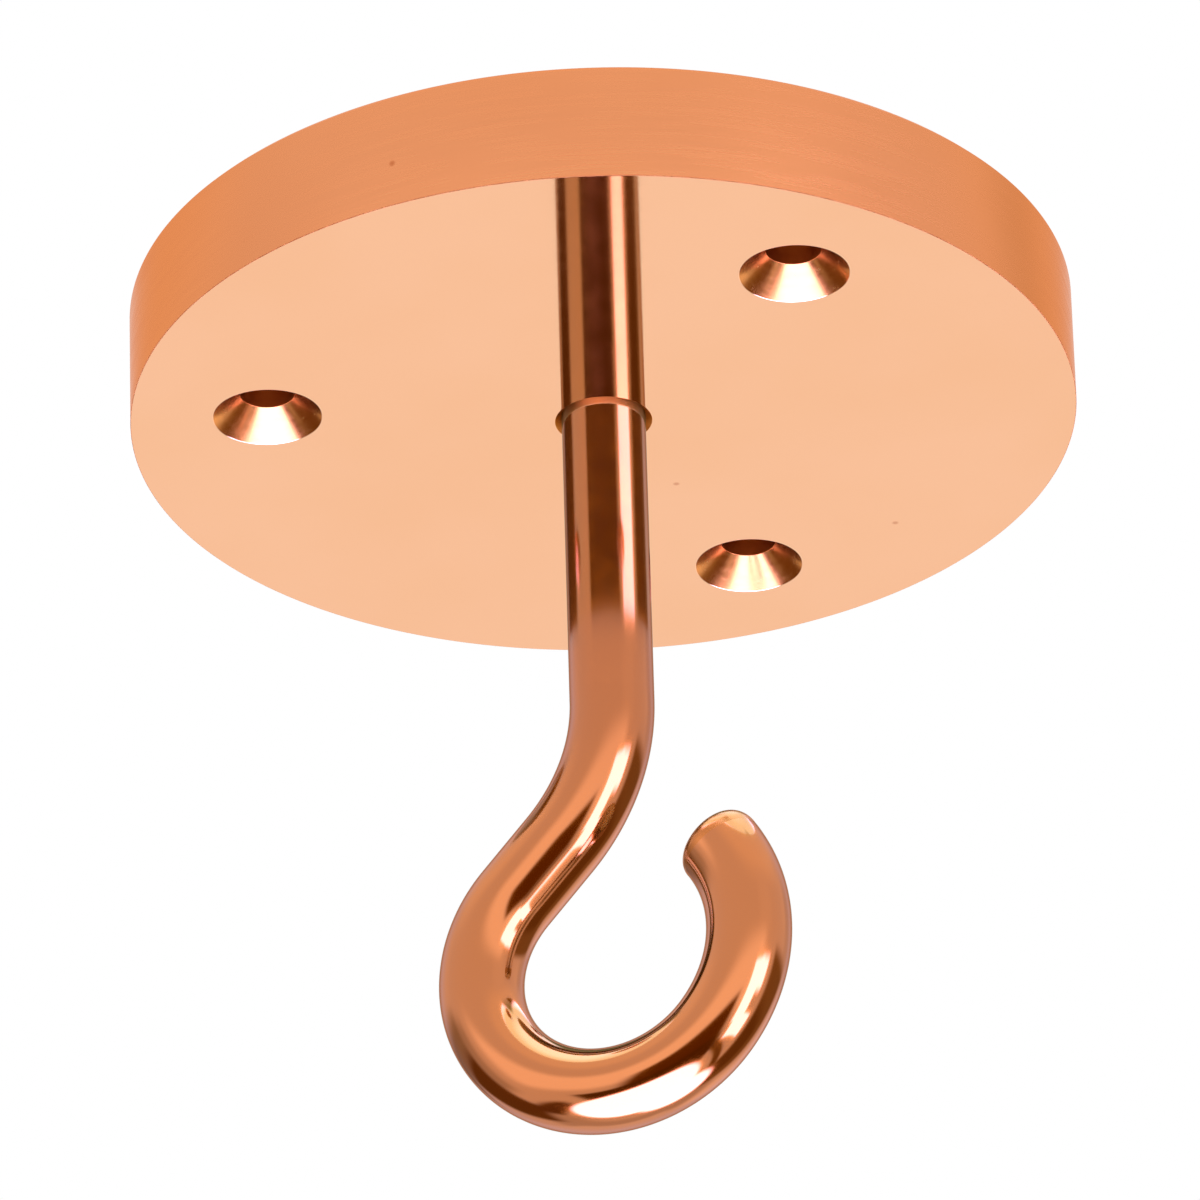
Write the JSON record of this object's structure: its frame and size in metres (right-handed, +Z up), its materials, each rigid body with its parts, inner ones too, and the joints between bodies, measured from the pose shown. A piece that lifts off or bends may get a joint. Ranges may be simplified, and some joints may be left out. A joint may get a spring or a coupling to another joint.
{
  "type": "ceiling hook",
  "caption": "Round ceiling plate of polished copper colour with countersunk screw holes, and a bent round bar hook screwed into its middle.",
  "frame": {"origin": "centre of the ceiling plate's back face, which lies against the ceiling", "axes": "+Z up into the ceiling along the screws and the shank, +X towards the hook's open side, so the hook is bent in the XZ plane and all of the object hangs below the origin"},
  "size_m": [0.09, 0.09, 0.0871],
  "materials": {
    "plate_copper": "polished copper",
    "hook_copper": "polished copper"
  },
  "bodies": {
    "root": {"ceiling_plate": "plate_copper", "hook": "hook_copper"}
  },
  "joints": []
}
